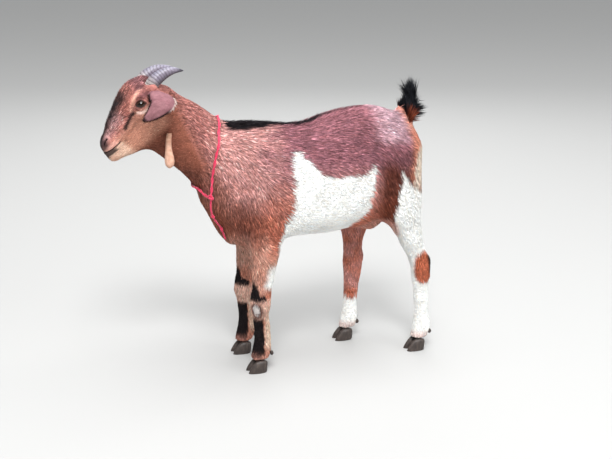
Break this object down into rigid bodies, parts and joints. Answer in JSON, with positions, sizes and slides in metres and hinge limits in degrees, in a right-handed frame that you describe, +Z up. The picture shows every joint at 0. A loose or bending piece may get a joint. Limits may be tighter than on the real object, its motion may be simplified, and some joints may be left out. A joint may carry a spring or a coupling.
{
  "type": "goat",
  "caption": "Life-size standing model of a young goat, chestnut, white and black, with short swept-back horns, drooping ears, raised tail, wattles and a knotted cord collar.",
  "frame": {"origin": "on the floor, under the middle of the goat's box", "axes": "+X forward along the body to the muzzle, +Y to the goat's left, +Z up"},
  "size_m": [0.7516, 0.2196, 0.6862],
  "materials": {
    "coat_brown": "short glossy chestnut hair with paler and darker streaks",
    "coat_white": "short white hair",
    "coat_black": "longer loose black hair",
    "horn": "satin blue-grey horn with faint rings",
    "eye": "wet gloss, dark brown with a level pupil",
    "ear": "very short grey-brown hair over thin skin",
    "wattle": "short pale tan hair",
    "hoof": "dull dark horn",
    "cord": "twisted crimson cord"
  },
  "bodies": {
    "root": {"head": "coat_brown", "neck": "coat_brown", "trunk": "coat_brown", "tail": "coat_black", "horn_left": "horn", "horn_right": "horn", "eye_left": "eye", "eye_right": "eye", "ear_left": "ear", "ear_right": "ear", "wattle_left": "wattle", "wattle_right": "wattle", "fore_leg_upper_left": "coat_brown", "fore_leg_upper_right": "coat_brown", "fore_leg_lower_left": "coat_brown", "fore_leg_lower_right": "coat_brown", "hind_leg_upper_left": "coat_brown", "hind_leg_upper_right": "coat_brown", "hind_leg_lower_left": "coat_white", "hind_leg_lower_right": "coat_white", "claw_fore_left_inner": "hoof", "claw_fore_left_outer": "hoof", "claw_fore_right_inner": "hoof", "claw_fore_right_outer": "hoof", "claw_hind_left_inner": "hoof", "claw_hind_left_outer": "hoof", "claw_hind_right_inner": "hoof", "claw_hind_right_outer": "hoof", "dewclaw_fore_left_inner": "hoof", "dewclaw_fore_left_outer": "hoof", "dewclaw_fore_right_inner": "hoof", "dewclaw_fore_right_outer": "hoof", "dewclaw_hind_left_inner": "hoof", "dewclaw_hind_left_outer": "hoof", "dewclaw_hind_right_inner": "hoof", "dewclaw_hind_right_outer": "hoof", "cord_loop": "cord", "cord_knot": "cord", "cord_end_upper": "cord", "cord_end_knot": "cord", "cord_end_middle": "cord", "cord_end_last_knot": "cord"}
  },
  "joints": []
}
